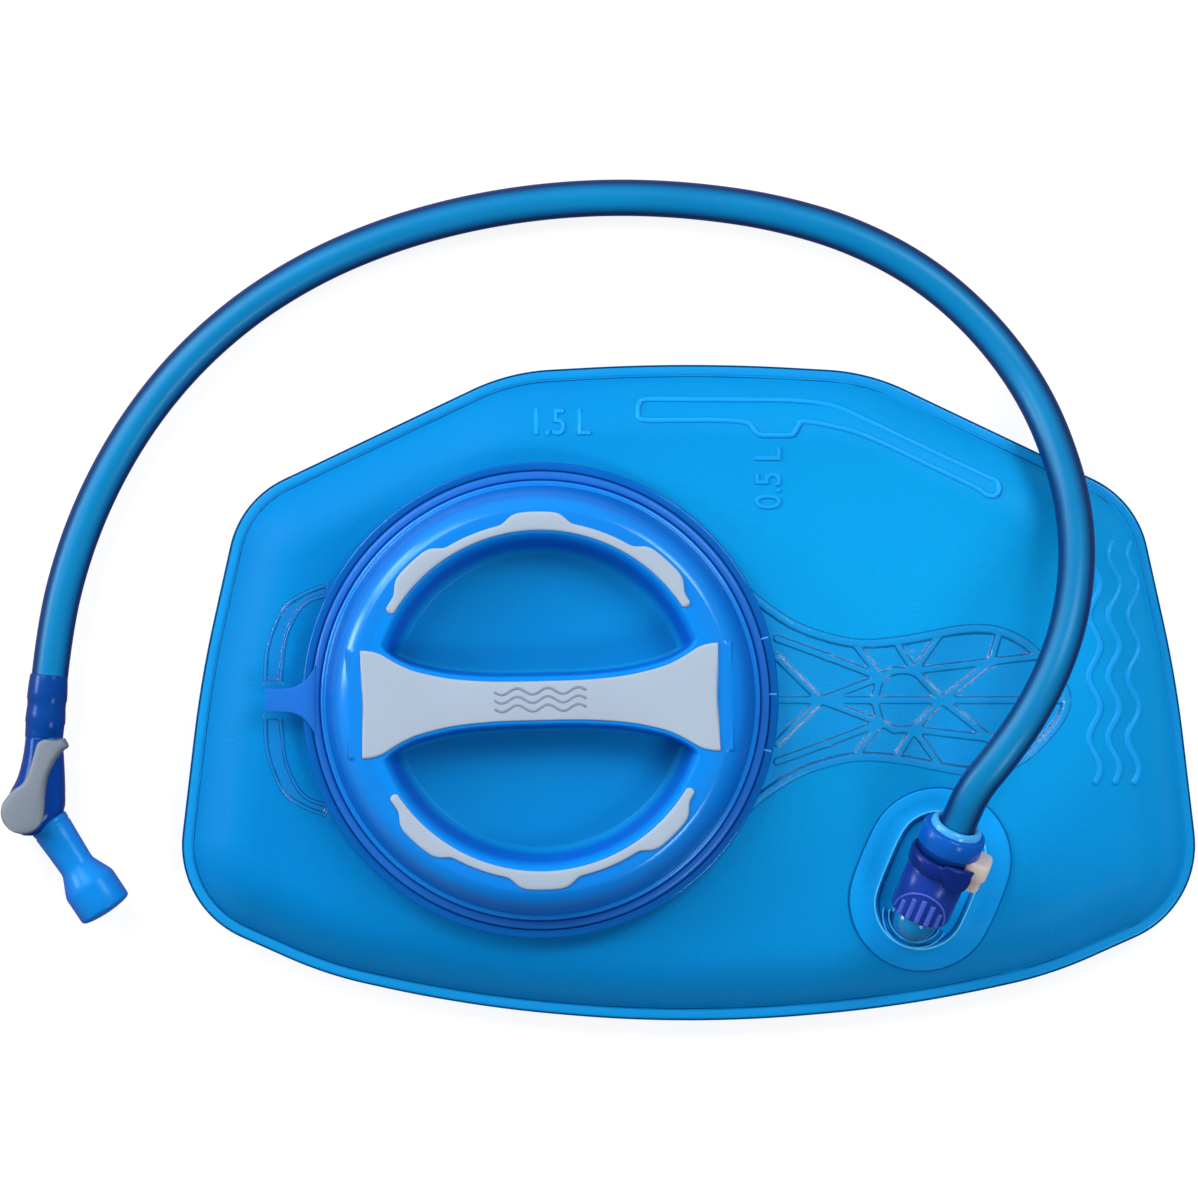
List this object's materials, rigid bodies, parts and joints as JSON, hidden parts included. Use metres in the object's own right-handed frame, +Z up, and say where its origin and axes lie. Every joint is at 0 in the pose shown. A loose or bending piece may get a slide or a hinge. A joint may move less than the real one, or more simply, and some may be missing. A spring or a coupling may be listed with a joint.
{
  "type": "hydration bladder",
  "caption": "Soft water reservoir for a lumbar pack, with a quarter-turn fill cap, grab handle, and a drink tube on a quick connector ending in a shut-off and bite valve.",
  "frame": {"origin": "middle of the reservoir's underside, where it lies on its back film", "axes": "+X towards the exit port's end, away from the fill cap; +Y towards the reservoir's narrow top edge; +Z up through the cap"},
  "size_m": [0.342, 0.2414, 0.0556],
  "materials": {
    "film": "translucent blue film with a fine satin grain",
    "clear_collar": "clear blue moulded plastic, polished",
    "band": "violet blue moulded plastic, polished",
    "clear_port": "clear blue moulded plastic, polished",
    "cap_blue": "translucent blue moulded plastic, polished",
    "soft_grey": "soft-touch grey overmould, matte",
    "seal": "smooth black silicone",
    "poppet_white": "natural white acetal, satin",
    "spring_steel": "stainless spring wire",
    "link_indigo": "translucent indigo moulded plastic, satin",
    "link_blue": "blue moulded plastic, polished",
    "button_grey": "warm grey moulded plastic, satin",
    "tube": "translucent blue soft tube, glossy",
    "valve_blue": "translucent dark blue moulded plastic, polished",
    "lever_grey": "cool grey moulded plastic, satin",
    "bite_silicone": "translucent blue silicone, satin"
  },
  "bodies": {
    "reservoir": {"back_film": "film", "front_film": "film", "fill_collar": "clear_collar", "collar_band": "band", "exit_port": "clear_port", "poppet_spring": "spring_steel"},
    "cap_seal": {"cap_seal": "seal"},
    "cap": {"cap_shell": "cap_blue", "cap_thread_ring": "cap_blue", "cap_grip_bar": "soft_grey", "cap_grip_arc_upper": "soft_grey", "cap_grip_arc_lower": "soft_grey"},
    "poppet": {"poppet": "poppet_white", "poppet_seal": "seal"},
    "hose": {"link_body": "link_indigo", "link_collar": "link_blue", "link_probe": "poppet_white", "probe_oring": "seal", "latch_plate": "link_indigo", "drink_tube": "tube", "shutoff_body": "valve_blue", "bite_valve": "bite_silicone", "button_spring": "spring_steel"},
    "button": {"release_button": "button_grey"},
    "lever": {"shutoff_lever": "lever_grey", "shutoff_spool": "poppet_white", "spool_orings": "seal"}
  },
  "joints": [
    {"name": "cap_lift", "type": "slide", "parent": "reservoir", "child": "cap_seal", "axis": [0, 0, 1], "range_m": [0, 0.04]},
    {"name": "cap_turn", "type": "hinge", "parent": "cap_seal", "child": "cap", "pos_m": [-0.0424, -0.002, 0.03], "axis": [0, 0, 1], "range_deg": [0, 360]},
    {"name": "hose_pull", "type": "slide", "parent": "reservoir", "child": "hose", "axis": [0.3512, 0.8355, 0.4226], "range_m": [0, 0.014]},
    {"name": "poppet_travel", "type": "slide", "parent": "reservoir", "child": "poppet", "axis": [0.3512, 0.8355, 0.4226], "range_m": [0, 0.0026], "deforming": ["poppet_spring"]},
    {"name": "button_press", "type": "slide", "parent": "hose", "child": "button", "axis": [-0.9219, 0.3875, 0], "range_m": [0, 0.002], "stiffness_N_per_m": 400, "springref_m": -0.003, "deforming": ["button_spring"]},
    {"name": "lever_turn", "type": "hinge", "parent": "hose", "child": "lever", "pos_m": [-0.1904, -0.034, 0.018], "axis": [0, 0, 1], "range_deg": [-75, 0]}
  ],
  "couplings": [
    {"joint": "cap_lift", "follows": "cap_turn", "m_per_rad": 0.0063662},
    {"joint": "poppet_travel", "follows": "hose_pull", "ratio": 0.1857}
  ]
}
